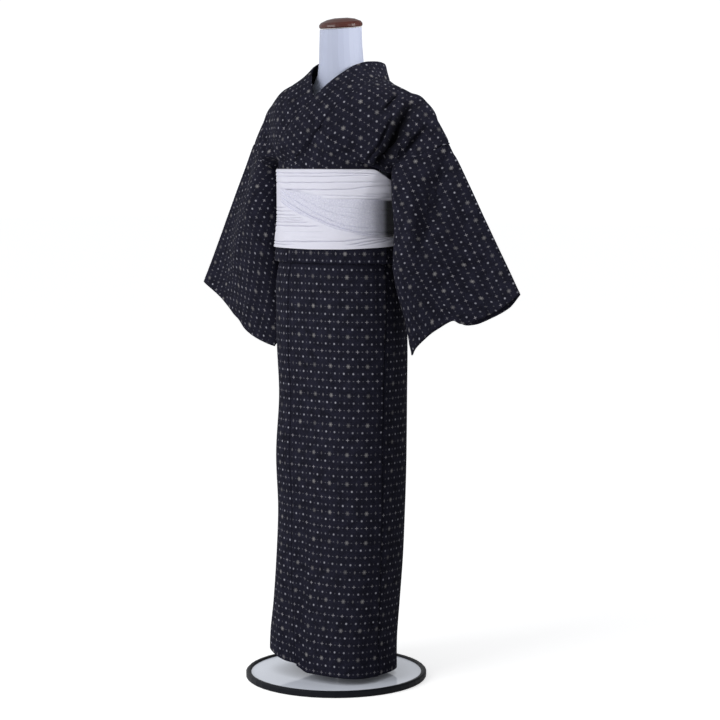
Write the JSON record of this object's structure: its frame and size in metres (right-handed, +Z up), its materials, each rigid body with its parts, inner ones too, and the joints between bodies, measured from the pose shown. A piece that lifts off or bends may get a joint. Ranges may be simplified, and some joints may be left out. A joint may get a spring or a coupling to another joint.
{
  "type": "cotton yukata robe on a limbless dress form",
  "caption": "Printed cotton yukata robe, crossed left over right and tied with its own flat belt, hanging on a limbless dress form on a round base.",
  "frame": {"origin": "centre of the round base, on the floor under it", "axes": "+Z up; the robe's front faces -Y; the wearer's left is +X"},
  "size_m": [0.875, 0.4, 1.4436],
  "materials": {
    "printed_cotton": "dyed plain-weave cotton, navy-black ground with a small regular splash pattern in grey and white",
    "belt_cloth": "soft woven belt cloth, off-white with a slight sheen",
    "form_cloth": "smooth pale jersey cover",
    "cap_wood": "varnished turned wood",
    "pole_steel": "plain steel tube",
    "base_glass": "polished glass-like disc",
    "rim_rubber": "black rubber edge band"
  },
  "bodies": {
    "root": {"body_left": "printed_cotton", "body_right": "printed_cotton", "okumi_left": "printed_cotton", "okumi_right": "printed_cotton", "sleeve_left": "printed_cotton", "sleeve_right": "printed_cotton", "collar": "printed_cotton", "obi_wrap": "belt_cloth", "obi_fold": "belt_cloth", "obi_knot": "belt_cloth", "form_body": "form_cloth", "form_cap": "cap_wood", "stand_pole": "pole_steel", "base_disc": "base_glass", "base_rim": "rim_rubber"}
  },
  "joints": []
}
